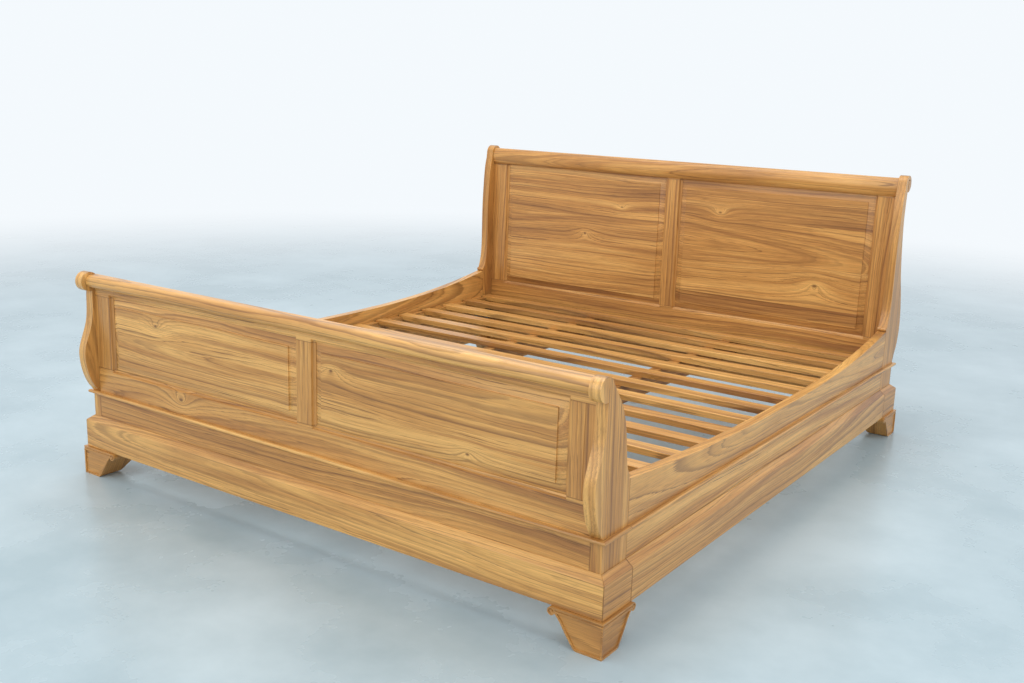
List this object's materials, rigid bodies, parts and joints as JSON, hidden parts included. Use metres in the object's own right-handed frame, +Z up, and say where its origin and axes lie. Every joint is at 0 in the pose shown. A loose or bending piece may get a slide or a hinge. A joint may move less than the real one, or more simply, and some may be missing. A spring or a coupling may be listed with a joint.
{
  "type": "sleigh bed",
  "caption": "Wooden sleigh bed with scrolled posts, fielded panels at both ends, swept side rails, loose slats, a plinth all round and bracket feet.",
  "frame": {"origin": "on the floor under the middle of the bed", "axes": "+X across the bed to its right seen from the foot, +Y towards the headboard, +Z up"},
  "size_m": [1.966, 2.2759, 0.9999],
  "materials": {
    "post_teak": "satin oiled teak, grain upright",
    "frame_teak": "satin oiled teak",
    "panel_teak": "satin oiled teak with cathedral figure",
    "base_teak": "satin oiled teak",
    "slat_teak": "planed teak, unfinished",
    "steel": "plain steel plate"
  },
  "bodies": {
    "root": {"foot_post_left": "post_teak", "foot_bracket_foot_left": "base_teak", "rail_bracket_foot_left": "steel", "foot_post_right": "post_teak", "foot_bracket_foot_right": "base_teak", "rail_bracket_foot_right": "steel", "footboard_bottom_rail": "frame_teak", "footboard_stile_left": "frame_teak", "footboard_stile_right": "frame_teak", "footboard_muntin": "frame_teak", "footboard_panel_left": "panel_teak", "footboard_panel_right": "panel_teak", "footboard_crest_rail": "frame_teak", "foot_waist_board": "base_teak", "foot_plinth": "base_teak", "foot_plinth_return_left": "base_teak", "foot_plinth_return_right": "base_teak", "foot_bead": "base_teak", "head_post_left": "post_teak", "head_bracket_foot_left": "base_teak", "rail_bracket_head_left": "steel", "head_post_right": "post_teak", "head_bracket_foot_right": "base_teak", "rail_bracket_head_right": "steel", "headboard_bottom_rail": "frame_teak", "headboard_stile_left": "frame_teak", "headboard_stile_right": "frame_teak", "headboard_muntin": "frame_teak", "headboard_panel_left": "panel_teak", "headboard_panel_right": "panel_teak", "headboard_crest_rail": "frame_teak", "head_waist_board": "base_teak", "head_plinth": "base_teak", "head_plinth_return_left": "base_teak", "head_plinth_return_right": "base_teak", "head_bead": "base_teak", "side_rail_left": "frame_teak", "side_bead_left": "base_teak", "side_plinth_left": "base_teak", "ledger_left": "slat_teak", "beam_left": "slat_teak", "side_rail_right": "frame_teak", "side_bead_right": "base_teak", "side_plinth_right": "base_teak", "ledger_right": "slat_teak", "beam_right": "slat_teak", "slat_01": "slat_teak", "slat_02": "slat_teak", "slat_03": "slat_teak", "slat_04": "slat_teak", "slat_05": "slat_teak", "slat_06": "slat_teak", "slat_07": "slat_teak", "slat_08": "slat_teak", "slat_09": "slat_teak", "slat_10": "slat_teak", "slat_11": "slat_teak", "slat_12": "slat_teak", "slat_13": "slat_teak", "slat_14": "slat_teak"}
  },
  "joints": []
}
